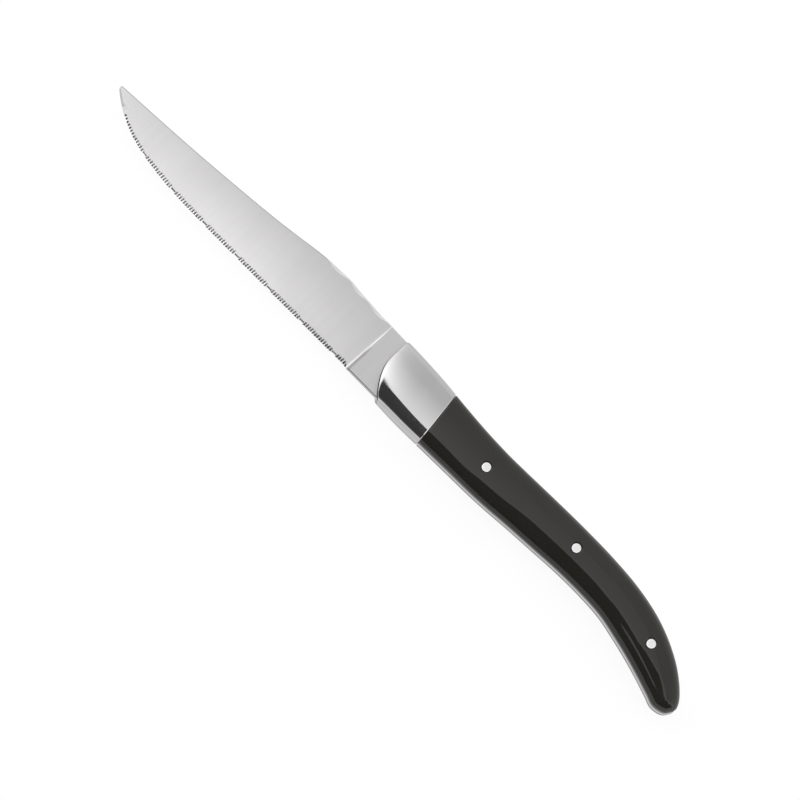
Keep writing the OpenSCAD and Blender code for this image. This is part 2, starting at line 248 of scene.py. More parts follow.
def section(half, x, k):
    """Inset and height over the steel's face at k from 0 at the outline to 1 at the middle."""
    e, z = (np.stack(np.broadcast_arrays(*v), -1) for v in section_rows(half, x))
    last = e.shape[-1] - 1
    at = np.clip(k, 0, 1) * (last - 1)
    i = np.minimum(at.astype(int), last - 2)
    f = at - i

    def pick(rows, j):
        return np.take_along_axis(rows, np.clip(j, 0, last)[..., None], -1)[..., 0]

    out = []
    for rows in (e, z):
        before, here, ahead, beyond = (pick(rows, i + d) for d in (-1, 0, 1, 2))
        start = np.where(i == 0, ahead - here, (ahead - before) / 2)
        out.append(hermite(here, ahead, start, (beyond - here) / 2, f))
    return out


def crown(s, turn):
    """Points over the upper side at stations s and turns 0 (edge side) to pi (spine side)."""
    s, turn = np.broadcast_arrays(np.asarray(s, float), np.asarray(turn, float))
    p = np.where((turn <= math.pi / 2)[..., None], side(BELLY, s), side(BACK, s))
    m = middle(s)
    half = np.linalg.norm(m - p, axis=-1)
    k = 1 - np.abs(turn / (math.pi / 2) - 1)
    inset, up = section(half, p[..., 0], k)
    q = p + (m - p) * (inset / half)[..., None]
    return np.concatenate([q, (HALF + up)[..., None]], -1)


HALVINGS = 36


def solve(test, turn, lo, hi):
    """Station at which test(x, y) changes sign, for each turn."""
    lo = np.full(turn.shape, float(lo))
    hi = np.full(turn.shape, float(hi))
    for _ in range(HALVINGS):
        mid = (lo + hi) / 2
        p = crown(mid, turn)
        behind = test(p[..., 0], p[..., 1]) > 0
        hi = np.where(behind, mid, hi)
        lo = np.where(behind, lo, mid)
    return (lo + hi) / 2


MIDDLE_ROWS = np.array([middle(float(i)) for i in range(BUTT + 1)])
JOINT_X = BLADE_LEN + BOLSTER_LEN
JOINT_Y = curve(MIDDLE_ROWS, JOINT_X)


def joint(x, y):
    """Distance behind the slanted joint of bolster and scale."""
    return (x - JOINT_X) * math.cos(JOINT_SLANT) + (y - JOINT_Y) * math.sin(JOINT_SLANT)


# The bolster's front is upright near the spine, with a small corner, and sweeps back to the edge
FRONT_TOP, FRONT_LOW, FRONT_POWER = 0.347 * HANDLE_W, -0.386 * HANDLE_W, 2.2
FRONT_CORNER, CORNER_TOP = 1.2, BACK[0][1] * HANDLE_W


def front_x(y, sweep_share=1.0):
    """Distance of the bolster's front from the tip."""
    k = np.maximum(0, (FRONT_TOP - y) / (FRONT_TOP - FRONT_LOW))
    up = np.clip(y - CORNER_TOP + FRONT_CORNER, 0, FRONT_CORNER)
    corner = FRONT_CORNER - np.sqrt(FRONT_CORNER ** 2 - up ** 2)
    return BLADE_LEN + sweep_share * FRONT_SWEEP * k ** FRONT_POWER + corner


def front(x, y):
    """Distance behind the bolster's front."""
    return x - front_x(y)


def normals(grid):
    """Unit normals of a grid of points, pointing out of the crown."""
    n = np.cross(np.gradient(grid, axis=0), np.gradient(grid, axis=1))
    n = n / np.maximum(np.linalg.norm(n, axis=-1, keepdims=True), 1e-9)
    return n * np.sign(np.sum(n[..., 2]))


def eased(grid, depth, radius):
    """Rounds the end of a grid: points nearer the end than radius sink along their normals."""
    k = np.clip(1 - depth / radius, 0, 1)
    drop = radius * (1 - np.sqrt(1 - k * k))
    return grid - normals(grid) * drop[..., None]


CROWN_COLS, BOLSTER_ROWS, SCALE_ROWS, JOINT_ROWS = 157, 64, 240, 14
CROWN_TURNS = np.linspace(0, math.pi, CROWN_COLS)
FRONT_STATIONS, JOINT_STATIONS = (-0.6, 4), (-0.6, 6)
DOME_LEN, DOME_POWER, DOME_FOOT, DOME_SWEEP = 12.0, 2.6, 0.2, 0.75
FRONT_EASE, JOINT_EASE = 0.28, 0.3
CLOSER, CLOSER_SHARE = 1.8, 0.9         # closer rows at the bolster's front, where the dome is steep
SCALE_BACK, SCALE_EASE = 0.07, 0.1      # the scale stands back from the joint by a hair
SCALE_FINE = 0.03                       # share of the scale with closer rows, at the joint
SKIN = HALF + 0.004                     # bolster and scales start a hair over the steel


def crown_rows(start, end, k):
    """Points of the crown on rows from stations start to stations end, at shares k of the way."""
    s = start + (end - start) * k[:, None]
    return crown(s, np.broadcast_to(CROWN_TURNS, s.shape))


def bolster_grid():
    """The upper bolster plate, domed down to its front."""
    even = np.linspace(0, 1, BOLSTER_ROWS)
    k = CLOSER_SHARE * even ** CLOSER + (1 - CLOSER_SHARE) * even
    g = crown_rows(solve(front, CROWN_TURNS, *FRONT_STATIONS),
                   solve(joint, CROWN_TURNS, *JOINT_STATIONS), k)
    w = np.clip(1 - (g[..., 0] - front_x(g[..., 1], DOME_SWEEP)) / DOME_LEN, 0, 1)
    rise = DOME_FOOT + (1 - DOME_FOOT) * (1 - w ** DOME_POWER) ** (1 / DOME_POWER)
    g[..., 2] = HALF + (g[..., 2] - HALF) * rise
    g = eased(g, -joint(g[..., 0], g[..., 1]), JOINT_EASE)
    return eased(g, front(g[..., 0], g[..., 1]), FRONT_EASE)


def scale_grid():
    """The upper scale, with an eased edge at the joint."""
    k = np.concatenate([np.linspace(0, SCALE_FINE, JOINT_ROWS)[:-1],
                        np.linspace(SCALE_FINE, 1, SCALE_ROWS - JOINT_ROWS + 1)])
    g = crown_rows(solve(joint, CROWN_TURNS, *JOINT_STATIONS), LAST, k)
    g[..., 0] += SCALE_BACK * np.clip(1 - joint(g[..., 0], g[..., 1]), 0, 1)
    return eased(g, joint(g[..., 0], g[..., 1]) - SCALE_BACK, SCALE_EASE)


def shell(name, grid, node, lower=False, folded=False):
    """A closed shell from a crowned grid, its flat underside and its end walls.
    The last row of a folded grid lies on itself, so it closes the shell without a wall."""
    rows, cols = grid.shape[:2]
    top, base = grid.copy(), grid.copy()
    top[..., 2] = np.maximum(grid[..., 2], SKIN)
    base[..., 2] = SKIN
    points = np.concatenate([top.reshape(-1, 3), base.reshape(-1, 3)])
    n = rows * cols
    faces = quads(rows, cols) + quads(rows, cols, n)
    for i in (0,) if folded else (0, rows - 1):
        for a in range(i * cols, (i + 1) * cols - 1):
            faces.append((a, a + 1, n + a + 1, n + a))
    for j in (0, cols - 1):
        for a in range(j, n - cols, cols):
            faces.append((a, a + cols, n + a + cols, n + a))
    if lower:
        points = points * [1, 1, -1]
    return piece(name, points, faces, [node], sharp=34)


bolster = bolster_grid()
scale = scale_grid()
upper_bolster = shell("bolster_plate_upper", bolster, "upper_bolster")
lower_bolster = shell("bolster_plate_lower", bolster, "lower_bolster", lower=True)
upper_scale = shell("handle_scale_upper", scale, "upper_scale", folded=True)
lower_scale = shell("handle_scale_lower", scale, "lower_scale", lower=True, folded=True)

# ---------------------------------------------------------------------------------------------
# The blade: a ground face with fine teeth, a wavy bevel on the spine, the plunge and the ricasso.
# The teeth stand in groups, with a shallow recess behind each, between a plain tip and heel.
TIP_PLAIN, HEEL_PLAIN, PITCH, TEETH, GAP = 6.6, 0.2, 0.83, 13, 1.8
TEETH_LEN = TEETH * PITCH
GROUP = TEETH_LEN + GAP
TEETH_END = GRIND_END - PLUNGE - HEEL_PLAIN
TOOTH_DEPTH, TOOTH_POWER = 0.175, 2.2
TOOTH_TALL, TALL_MORE, TALL_RUN = 0.75, 0.35, 20    # the teeth grow over a run behind the tip
TOOTH_RISE, RISE_MOST = 1.16, 1.1       # height at which a full groove runs out, as a share
RECESS_TALL, RECESS_SLOPE, RECESS_SIDE = 0.72, 0.86, 1.6
# a slight difference from tooth to tooth
UNLIKE_A, TURN_A, UNLIKE_B, TURN_B, GROUP_STEP = 0.12, 2.4, 0.08, 5.1, 17
# The wavy bevel on the spine
SPINE_BREAK, WAVE_W, WAVE_LEN, WAVE_RUN, WAVE_GAP, WAVE_SHARE = 0.24, 0.5, 8.0, 24, 1.5, 0.6
BEVEL_FALL, FALL_MOST = 0.45, 0.8
BREAK_IN, BREAK_DOWN, BREAK_STEP = 0.12, 0.92, 0.03     # its last, steeper strip
# The ground face: its foot ends in a bevel at the edge, which is flatter in a dip before the teeth
# and steeper along them
GRIND_POWER, GRIND_FOOT = 0.65, 0.08
EDGE_HALF, BEVEL_SLOPE, DIP_LESS, TEETH_MORE, MORE_RUN = 0.025, 0.2, 0.07, 0.1, 4
DIP_FROM, DIP_IN, DIP_END, DIP_OUT = 4.2, 0.6, TIP_PLAIN - 0.1, 0.3
TIP_ROUND, TIP_CENTRE = 0.5, 0.3
RICASSO_EASE, RICASSO_FROM = 0.16, 0.1      # the eased lower edge of the ricasso
PLUNGE_STEEP = 0.985                        # the plunge stops short of upright
CUT_STEPS, CUT_REACH, CUT_MOST = 161, 1.6, 0.5          # search for the foot of a groove
THIN, CUT_THIN, SPINE_THIN = 0.01, 0.012, 0.02          # least widths that stay open
# Rows of points over the face: heights near the edge, and the number of even rows above them
NEAR = np.array([0, 0.05, 0.12, 0.2, 0.3, 0.4, 0.52, 0.66, 0.82, 1.0, 1.2, 1.45, 1.75])
NEAR_MOST, FAR_ROWS = 0.55, 13
# How many sections: in the plain tip, to a tooth, to a recess, at the heel, in the ramp and behind it
TIP_CUTS, TOOTH_CUTS, RECESS_CUTS, HEEL_CUTS, RAMP_CUTS, RICASSO_CUTS = 45, 8, 14, 4, 19, 12
TIP_CLOSER, RAMP_PAST, UNDER_BOLSTER = 1.6, 0.25, 1


def spine_y(x):
    """The spine at a distance from the tip."""
    return curve(SPINE, x / BLADE_LEN) * BLADE_W


def edge_y(x):
    """The edge at a distance from the tip."""
    return curve(EDGE, x / BLADE_LEN) * BLADE_W


def half_spine(x):
    """Half the thickness of the spine at a distance from the tip."""
    return curve(TAPER, x / BLADE_LEN) * HALF


def bevel_w(x):
    """Width of the bevel on the spine."""
    end = GRIND_END - WAVE_GAP
    k = np.clip(np.minimum(x - end + WAVE_RUN, end - x) / WAVE_GAP, 0, 1)
    wave = np.cos(2 * math.pi * (end - x) / WAVE_LEN)
    return SPINE_BREAK + k * WAVE_W * (1 - WAVE_SHARE * wave)


def places():
    """Distances from the tip at which the blade is cut into sections."""
    out = [TIP_PLAIN * np.linspace(0, 1, TIP_CUTS + 1)[:-1] ** TIP_CLOSER]
    x = TIP_PLAIN
    while x < TEETH_END:
        out.append(x + np.arange(TEETH * TOOTH_CUTS) * PITCH / TOOTH_CUTS)
        out.append(x + TEETH_LEN + np.linspace(0, GAP, RECESS_CUTS + 1)[:-1])
        x += GROUP
    p = np.concatenate(out)
    ramp_start, ramp_end = GRIND_END - PLUNGE, GRIND_END + RAMP_PAST
    end = BLADE_LEN + FRONT_SWEEP + UNDER_BOLSTER
    return np.concatenate([p[p < TEETH_END],
                           np.linspace(TEETH_END, ramp_start, HEEL_CUTS + 1)[:-1],
                           np.linspace(ramp_start, ramp_end, RAMP_CUTS + 1)[:-1],
                           np.linspace(ramp_end, end, RICASSO_CUTS)])


def groove(x, h):
    """Depth ground away from the upper face at a distance from the tip and above the edge."""
    inside = (x >= TIP_PLAIN) & (x < TEETH_END)
    g = np.mod(x - TIP_PLAIN, GROUP)
    tall = TOOTH_TALL + TALL_MORE * np.clip((x - TIP_PLAIN) / TALL_RUN, 0, 1)
    t = np.mod(g / PITCH, 1) - 0.5
    deep = TOOTH_DEPTH * (1 - (2 * np.abs(t)) ** TOOTH_POWER)
    number = np.floor(g / PITCH) + GROUP_STEP * np.floor((x - TIP_PLAIN) / GROUP)
    deep = deep * (1 + UNLIKE_A * np.sin(number * TURN_A) + UNLIKE_B * np.sin(number * TURN_B))
    rise = np.clip(h / (TOOTH_RISE * tall), 0, RISE_MOST) ** 2
    from_side = np.minimum(g - TEETH_LEN, GROUP - g)
    recess = np.minimum(RECESS_SLOPE * (RECESS_TALL * tall - h), RECESS_SIDE * from_side)
    depth = np.where(g < TEETH_LEN, deep - TOOTH_DEPTH * rise, recess)
    return np.where(inside, np.maximum(depth, 0), 0)


def face_z(x, h, wide):
    """Height of the ground face over the mid-plane at a height above the edge."""
    k = np.clip(h / np.maximum(wide, 1e-6), 0, 1)
    ground = GRIND_FOOT + (half_spine(x) - GRIND_FOOT) * k ** GRIND_POWER
    dip = np.clip(np.minimum((x - DIP_FROM) / DIP_IN, (DIP_END - x) / DIP_OUT), 0, 1)
    more = np.clip((x - TIP_PLAIN) / MORE_RUN, 0, 1)
    bevel = EDGE_HALF + h * (BEVEL_SLOPE - DIP_LESS * dip + TEETH_MORE * more)
    return np.minimum(ground, bevel)


def blade_sides(x):
    """The edge, the foot of the spine's bevel and the spine, with a rounded tip."""
    round_tip = np.sqrt(np.clip(1 - (1 - np.clip(x / TIP_ROUND, 0, 1)) ** 2, 0, 1))
    centre = (edge_y(TIP_CENTRE) + spine_y(TIP_CENTRE)) / 2
    low = centre + (edge_y(x) - centre) * round_tip
    top = centre + (spine_y(x) - centre) * round_tip
    high = np.minimum(spine_y(x) - bevel_w(x), top - SPINE_THIN)
    return low, np.maximum(high, low + THIN), top


def groove_feet(x, wide):
    """Height above the edge at which each groove comes out of the lower face."""
    steps = np.linspace(0, CUT_REACH, CUT_STEPS)
    cut = np.zeros_like(x)
    for i in range(len(x)):
        thick = 2 * face_z(x[i], steps, wide[i]) - CUT_THIN
        solid = np.nonzero(groove(np.full_like(steps, x[i]), steps) <= thick)[0]
        cut[i] = steps[solid[0]] if len(solid) else 0
    return np.minimum(cut, CUT_MOST * wide)


def blade_piece():
    """Points and faces of the blade and ricasso, as rings from the tip to the bolster."""
    x = places()
    low, high, top = blade_sides(x)
    wide = high - low
    cut = groove_feet(x, wide)
    reach = np.minimum(NEAR[-1], NEAR_MOST * wide)
    far = np.linspace(0, 1, FAR_ROWS + 1)[1:]
    h = np.concatenate([cut[:, None] + (reach - cut)[:, None] * NEAR / NEAR[-1],
                        reach[:, None] + (wide - reach)[:, None] * far], 1)
    xx = np.broadcast_to(x[:, None], h.shape)

    plain = face_z(xx, h, wide[:, None])
    ramp = np.clip(1 - (GRIND_END - xx) / PLUNGE, 0, 1)
    run = 1 - np.sqrt(1 - np.minimum(ramp, PLUNGE_STEEP) ** 2)
    plain = plain + (HALF - plain) * np.where(xx >= GRIND_END, 1, run)
    corner = HALF - RICASSO_EASE + np.maximum(h, 0)
    plain = np.where(xx > GRIND_END + RICASSO_FROM, np.minimum(plain, corner), plain)
    upper = np.maximum(plain - groove(xx, h), -plain + THIN)

    bevel = top - high
    fall = np.minimum(bevel * BEVEL_FALL, half_spine(x) * FALL_MOST)
    full = plain[:, -1]

    def half_ring(z, way):
        rim = [(top - bevel * BREAK_IN, full - fall * BREAK_DOWN), (top, full - fall - BREAK_STEP)]
        rows = [np.stack([x, y, way * rim_z], -1)[:, None] for y, rim_z in rim]
        return np.concatenate([np.stack([xx, low[:, None] + h, z], -1)] + rows, 1)

    up, down = half_ring(upper, 1), half_ring(-plain, -1)
    ring = np.concatenate([up, down[:, ::-1]], 1)
    rows, cols = ring.shape[:2]
    faces = quads(rows, cols, close=True)
    for row in (0, rows - 1):
        for j in range(up.shape[1] - 1):
            a, b = row * cols + j, row * cols + cols - 1 - j
            faces.append((a, a + 1, b - 1, b))
    return ring.reshape(-1, 3), faces


TANG_EASE, TANG_INSET, TANG_BEHIND = 0.1, 0.012, 0.05
EASE_MIDDLE = TANG_EASE * 0.3
TANG_CUTS, NOSE_POINTS = 24, 30         # points to a station, and along the front


def tang_outline():
    """The handle's outline behind the bolster's front, point by point."""
    s = np.linspace(0, LAST, LAST * TANG_CUTS + 1)
    back, belly = (p[front(p[:, 0], p[:, 1]) > TANG_BEHIND] for p in (side(BACK, s), side(BELLY, s)))
    y = np.linspace(belly[0, 1], back[0, 1], NOSE_POINTS)[1:-1]
    nose = np.stack([front_x(y) + TANG_BEHIND, y], 1)
    return np.concatenate([nose, back, belly[::-1][1:]])


def tang_piece():
    """The tang as a plate with eased corners along its rim."""
    ring = tang_outline()
    along = np.roll(ring, -1, 0) - np.roll(ring, 1, 0)
    along /= np.linalg.norm(along, axis=1, keepdims=True)
    inward = np.stack([along[:, 1], -along[:, 0]], 1)
    upper = [(0, HALF - TANG_EASE), (EASE_MIDDLE, HALF - EASE_MIDDLE), (TANG_EASE, HALF)]
    levels = [(d, -z) for d, z in reversed(upper)] + upper
    n = len(ring)
    stack = [np.concatenate([ring + inward * (TANG_INSET + d), np.full((n, 1), z)], 1)
             for d, z in levels]
    faces = quads(len(stack), n, close=True)
    faces.append(tuple(range(n)))
    faces.append(tuple(range((len(stack) - 1) * n, len(stack) * n)))
    return np.concatenate(stack), faces


blade_points, blade_faces = blade_piece()
tang_points, tang_faces = tang_piece()
count = len(blade_points)
blade = piece("blade_and_tang", np.concatenate([blade_points, tang_points]),
              blade_faces + [tuple(i + count for i in f) for f in tang_faces],
              ["blade"], sharp=22)

# ---------------------------------------------------------------------------------------------
# Rivets: peened heads that stand a hair over the scales, each turned as one profile
HEAD = [(0.0, 0.0), (0.25, 0.5e-6), (0.5, 3e-6), (0.7, 8e-6), (0.84, 18e-6), (0.92, 34e-6),
        (0.97, 60e-6), (1.0, 110e-6)]       # share of the radius, and drop in metres
WAIST = 0.0001          # half height of the middle rows, in metres
AROUND = 64


def rivet_piece(name, node):
    """A rivet with both its heads, in the box of its solid."""
    low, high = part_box(node)
    cx, cy = (low.x + high.x) / 2, (low.y + high.y) / 2
    r, mid = (high.x - low.x) / 2, HANDLE_THICK / 2000
    profile = [(p, high.z - drop) for p, drop in HEAD]
    profile += [(1.0, mid + WAIST), (1.0, mid - WAIST)]
    profile += [(p, low.z + drop) for p, drop in reversed(HEAD)]
    points = []
    for p, z in profile:
        for j in range(AROUND):
            a = 2 * math.pi * j / AROUND
            points.append((cx + r * p * math.cos(a), cy + r * p * math.sin(a), z))
    faces = quads(len(profile), AROUND, close=True)
    return piece(name, np.array(points) * 1000 - shift, faces, [node], sharp=50)


RIVETS = {"rivet_front": "front_rivet", "rivet_middle": "middle_rivet", "rivet_rear": "rear_rivet"}
rivets = [rivet_piece(name, node) for name, node in RIVETS.items()]

# ---------------------------------------------------------------------------------------------
# Materials
NOISE_LOW, NOISE_HIGH = 0.3, 0.7        # nearly all of a noise lies between these
BUMP_HIGH = 0.00002


class Tree:
    """Short hand for a node tree."""

    def __init__(self, tree):
        self.t = tree

    def add(self, kind, inputs=(), **props):
        n = self.t.nodes.new(kind)
        for k, v in props.items():
            setattr(n, k, v)
        for k, v in dict(inputs).items():
            self.put(n.inputs[k], v)
        return n

    def put(self, socket, value):
        """Links an output to the socket, or sets its value."""
        if isinstance(value, bpy.types.NodeSocket):
            self.t.links.new(value, socket)
        else:
            socket.default_value = value

    def math(self, op, a, b=0.0):
        return self.add("ShaderNodeMath", {0: a, 1: b}, operation=op).outputs[0]

    def vector(self, op, a, b=(0, 0, 0)):
        n = self.add("ShaderNodeVectorMath", {0: a, 1: b}, operation=op)
        return n.outputs["Value" if op in ("LENGTH", "DOT_PRODUCT") else "Vector"]

    def span(self, value, a, b, c, d, kind="LINEAR"):
        """From c to d as the value goes from a to b."""
        return self.add("ShaderNodeMapRange", {"Value": value, "From Min": a, "From Max": b,
                                               "To Min": c, "To Max": d},
                        interpolation_type=kind).outputs["Result"]

    def band(self, value, start, full, fade, end):
        """1 from full to fade, 0 up to start and from end."""
        return self.math("MULTIPLY", self.span(value, start, full, 0, 1),
                         self.span(value, fade, end, 1, 0))

    def place(self):
        """Place in the frame, in metres."""
        return self.add("ShaderNodeTexCoord").outputs["Object"]

    def noise(self, vector, scale, detail, rough):
        return self.add("ShaderNodeTexNoise", {"Vector": vector, "Scale": scale, "Detail": detail,
                                               "Roughness": rough}).outputs["Fac"]

    def stretch(self, vector, x, y, z, turn=0.0):
        return self.add("ShaderNodeMapping", {"Vector": vector, "Scale": (x, y, z),
                                              "Rotation": (0, 0, turn)}).outputs["Vector"]

    def mix(self, fac, a, b):
        n = self.add("ShaderNodeMix", data_type="RGBA")
        for k, v in (("Factor", fac), ("A", a), ("B", b)):
            self.put(next(s for s in n.inputs
                          if s.name == k and (k == "Factor" or s.type == "RGBA")), v)
        return next(s for s in n.outputs if s.type == "RGBA")

    def grey(self, fac, a, b):
        """Between the greys a and b."""
        return self.mix(fac, (a, a, a, 1), (b, b, b, 1))

    def to_grey(self, fac, colour, b):
        """From a colour to the grey b."""
        return self.mix(fac, colour, (b, b, b, 1))

    def from_axis(self, at, x, y):
        """Distance from the upright line at x, y."""
        off = self.vector("SUBTRACT", at, (x, y, 0))
        return self.vector("LENGTH", self.vector("MULTIPLY", off, (1, 1, 0)))

    def steps(self, value, rows):
        """Straight steps through rows [place in metres, level], as a grey colour."""
        low, high = rows[0][0], rows[-1][0]
        n = self.add("ShaderNodeValToRGB", {0: self.span(value, low, high, 0, 1)})
        ramp = n.color_ramp
        while len(ramp.elements) < len(rows):
            ramp.elements.new(0.5)
        # the stops are sorted as they move, so they are coloured once all have their place
        for stop, (place, _) in zip(ramp.elements, rows):
            stop.position = (place - low) / (high - low)
        for stop, (_, level) in zip(ramp.elements, rows):
            stop.color = (level, level, level, 1)
        return n.outputs["Color"]

    def roughness(self, cloud, low, high, marks, share):
        """Drifts from low to high with the cloud and rises along the marks."""
        return self.math("ADD", self.span(cloud, NOISE_LOW, NOISE_HIGH, low, high),
                         self.math("MULTIPLY", marks, share))

    def bump(self, height, strength, distance=BUMP_HIGH, **more):
        return self.add("ShaderNodeBump", {"Strength": strength, "Distance": distance,
                                           "Height": height, **more}).outputs[0]


def material(name):
    m = bpy.data.materials.new(name)
    m.use_nodes = True
    m.node_tree.nodes.clear()
    return m, Tree(m.node_tree)


def finish_material(t, shader):
    out = t.add("ShaderNodeOutputMaterial")
    t.t.links.new(shader.outputs[0], out.inputs["Surface"])


def metal(t, base, rough, **more):
    """Ends the tree as bare metal."""
    finish_material(t, t.add("ShaderNodeBsdfPrincipled", {"Base Color": base, "Metallic": 1.0,
                                                          "Roughness": rough, **more}))


# Painted light and shade on the ground face along its lower and upper side, as rows [place in metres,
# level]: base colour levels, brighter towards the edge, that stand in for how the light falls
EDGE_PAINTED_LIGHT = [[-0.1148, 0.79], [-0.065, 0.905], [-0.048, 0.885], [-0.015, 0.67]]
SPINE_PAINTED_LIGHT = [[-0.1148, 0.76], [-0.080, 0.67], [-0.045, 0.615], [-0.015, 0.59]]
# the ricasso's plain level, and the painted highlight on the plunge's crest
RICASSO_LEVEL, CREST_PAINTED_HIGHLIGHT = 0.61, 0.92
# painted shade on the plain part of the spine's bevel, and painted light on its wavy part
PLAIN_BEVEL_PAINTED_SHADE, WAVY_BEVEL_PAINTED_LIGHT = 0.46, 0.86
# The sides between which the face's painted light fades from the edge's levels to the spine's, y in
# metres: the upper one climbs from the tip to a place
FACE_LOW, FACE_HIGH_TIP, FACE_HIGH, FACE_HIGH_AT = -0.0100, -0.001, 0.0090, -0.040
FACING = (0.22, 0.36)       # a normal's share towards the spine on the spine's bevel
GRIND_X = (GRIND_END + shift[0]) / 1000
# Places in metres from the end of the grind: the start of the wavy bevel's painted light, the
# ricasso's start, and two bands, the painted highlight on the plunge's crest and the painted shade
# line at its step, as [start, full, fade, end]
WAVY_FROM, WAVY_FULL, RICASSO_SOFT = -0.0262, -0.0250, 0.0002
CREST_HIGHLIGHT_BAND = (-0.0004, -0.0002, -0.0001, 0)
STEP_SHADE_BAND = (-0.0003, -0.0001, 0.0005, 0.0007)
# How strong the painted highlight and painted shade bands are from one y to another
CREST_HIGHLIGHT_SPAN, STEP_SHADE_SPAN = (-0.0015, 0.0025, 0, 0.75), (-0.0015, 0.0015, 0.28, 0)
GRIND_TURN = 0.12           # radians off square to the blade


def blade_level(t, x, y):
    """Base level of the blade, with painted light and shade: a painted gradient over the ground face,
    the ricasso's plain level, painted light and shade on the spine's bevel by the way its normal
    faces, a painted highlight on the plunge's crest and a painted shade line at its step.
    """
    high = t.span(x, EDGE_PAINTED_LIGHT[0][0], FACE_HIGH_AT, FACE_HIGH_TIP, FACE_HIGH)
    across = t.span(y, FACE_LOW, high, 0, 1)
    # painted light and shade across the ground face, from the edge's levels to the spine's
    face = t.mix(across, t.steps(x, EDGE_PAINTED_LIGHT), t.steps(x, SPINE_PAINTED_LIGHT))
    on_ricasso = t.span(x, GRIND_X - RICASSO_SOFT, GRIND_X, 0, 1)
    level = t.to_grey(on_ricasso, face, RICASSO_LEVEL)
    normal = t.add("ShaderNodeNewGeometry").outputs["Normal"]
    facing = t.add("ShaderNodeSeparateXYZ", {0: normal}).outputs["Y"]
    # painted light and shade on the spine's bevel, chosen by the way its normal faces: darker on the
    # plain part, brighter on the wavy part
    bevel = t.span(x, GRIND_X + WAVY_FROM, GRIND_X + WAVY_FULL, PLAIN_BEVEL_PAINTED_SHADE, WAVY_BEVEL_PAINTED_LIGHT)
    level = t.mix(t.span(facing, *FACING, 0, 1), level, t.grey(bevel, 0, 1))
    # a painted highlight along the plunge's crest, stronger towards the spine
    crest = t.band(x, *(GRIND_X + place for place in CREST_HIGHLIGHT_BAND))
    crest = t.math("MULTIPLY", crest, t.span(y, *CREST_HIGHLIGHT_SPAN))
    level = t.to_grey(crest, level, CREST_PAINTED_HIGHLIGHT)
    # a painted shade line across the end of the grind, strongest on the edge side
    step = t.band(x, *(GRIND_X + place for place in STEP_SHADE_BAND))
    step = t.math("MULTIPLY", step, t.span(y, *STEP_SHADE_SPAN))
    return t.math("MULTIPLY", level, t.math("SUBTRACT", 1.0, step))


def blade_steel():
    """Satin stainless steel with a fine grind across the blade, on a base colour that carries painted
    light and shade.
    """
    m, t = material("satin_blade_steel")
    at = t.place()
    grind = t.noise(t.stretch(at, 9000, 320, 320, GRIND_TURN), 1.0, 3.0, 0.6)
    wide = t.noise(t.stretch(at, 900, 60, 60, GRIND_TURN), 1.0, 2.0, 0.5)
    cloud = t.noise(at, 60.0, 3.0, 0.5)
    axes = t.add("ShaderNodeSeparateXYZ", {0: at}).outputs
    tone = t.math("ADD", t.math("MULTIPLY", grind, 0.45), t.math("MULTIPLY", wide, 0.55))
    tone = t.span(tone, NOISE_LOW, NOISE_HIGH, 0.975, 1.025)
    level = t.math("MULTIPLY", blade_level(t, axes["X"], axes["Y"]), tone)
    base = t.add("ShaderNodeCombineColor", {"Red": level, "Green": t.math("MULTIPLY", level, 0.984),
                                            "Blue": t.math("MULTIPLY", level, 0.992)}).outputs[0]
    metal(t, base, t.roughness(cloud, 0.25, 0.31, grind, 0.05), Normal=t.bump(grind, 0.05))
    return m


def bolster_steel():
    """Polished stainless steel with faint polishing marks."""
    m, t = material("polished_bolster_steel")
    at = t.place()
    marks = t.noise(t.stretch(at, 1500, 220, 400, 0.5), 1.0, 3.0, 0.6)
    cloud = t.noise(at, 140.0, 3.0, 0.5)
    base = t.mix(cloud, (0.575, 0.565, 0.570, 1), (0.615, 0.605, 0.610, 1))
    metal(t, base, t.roughness(cloud, 0.09, 0.12, marks, 0.03), Normal=t.bump(marks, 0.03))
    return m


SEAM_FULL, SEAM_END = 0.00015, 0.00045      # metres outside the head


def seam_and_painted_shade(t, at):
    """1 in a narrow ring round each rivet, 0 elsewhere: where the scale is bumped in and darkened
    with painted shade.
    """
    total = None
    for node in RIVETS.values():
        low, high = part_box(node)
        r = (high.x - low.x) / 2
        out = t.from_axis(at, (low.x + high.x) / 2, (low.y + high.y) / 2)
        ring = t.span(out, r + SEAM_FULL, r + SEAM_END, 1, 0, "SMOOTHSTEP")
        total = ring if total is None else t.math("MAXIMUM", total, ring)
    return total


def scale_black():
    """Glossy black moulded plastic, slightly warm, with faint mottling, hairline wear and a narrow
    sink round the rivets, bumped in and darkened with painted shade."""
    m, t = material("glossy_black_scale")
    at = t.place()
    cloud = t.noise(at, 90.0, 4.0, 0.55)
    hair = t.noise(t.stretch(at, 180, 2600, 900, 0.2), 1.0, 2.0, 0.6)
    near = seam_and_painted_shade(t, at)
    base = t.mix(cloud, (0.0242, 0.0226, 0.0190, 1), (0.0276, 0.0260, 0.0222, 1))
    # painted shade: the ring round each rivet is darkened nearly to black
    base = t.to_grey(near, base, 0.002)
    rough = t.roughness(cloud, 0.055, 0.085, hair, 0.02)
    worn = t.bump(hair, 0.04, 0.00001)
    sunk = t.bump(t.math("SUBTRACT", 1.0, near), 1.0, 0.00014, Normal=worn)
    finish_material(t, t.add("ShaderNodeBsdfPrincipled", {"Base Color": base, "Roughness": rough,
                                                          "IOR": 1.49, "Normal": sunk}))
    return m


